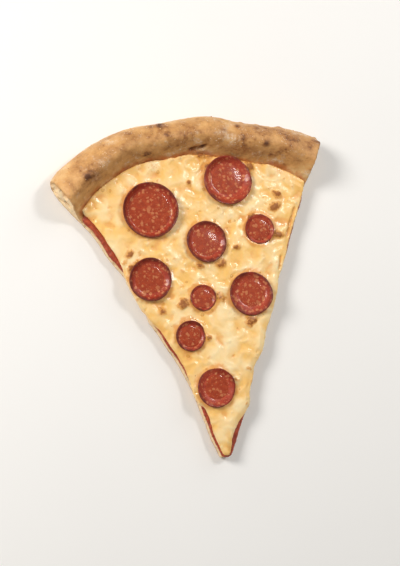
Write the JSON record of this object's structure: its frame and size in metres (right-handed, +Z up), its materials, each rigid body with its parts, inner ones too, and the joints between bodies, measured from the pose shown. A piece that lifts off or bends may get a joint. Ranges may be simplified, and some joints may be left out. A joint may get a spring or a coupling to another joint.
{
  "type": "slice of pizza",
  "caption": "Wedge of thin-base pizza with a puffed rim, tomato sauce, melted cheese and cupped rounds of pepperoni, lying flat.",
  "frame": {"origin": "middle of the bounding box, on the surface that the slice lies on", "axes": "+Y along the middle of the slice, from its tip towards the rim; +Z up; +X to the right, seen from above with the rim away"},
  "size_m": [0.1666, 0.2017, 0.0237],
  "materials": {
    "baked_dough": null,
    "tomato_sauce": null,
    "melted_cheese": null,
    "pepperoni": null
  },
  "bodies": {
    "root": {"dough": "baked_dough", "tomato_sauce": "tomato_sauce", "cheese": "melted_cheese", "pepperoni_1": "pepperoni", "pepperoni_2": "pepperoni", "pepperoni_3": "pepperoni", "pepperoni_4": "pepperoni", "pepperoni_5": "pepperoni", "pepperoni_6": "pepperoni", "pepperoni_7": "pepperoni", "pepperoni_8": "pepperoni", "pepperoni_9": "pepperoni"}
  },
  "joints": []
}
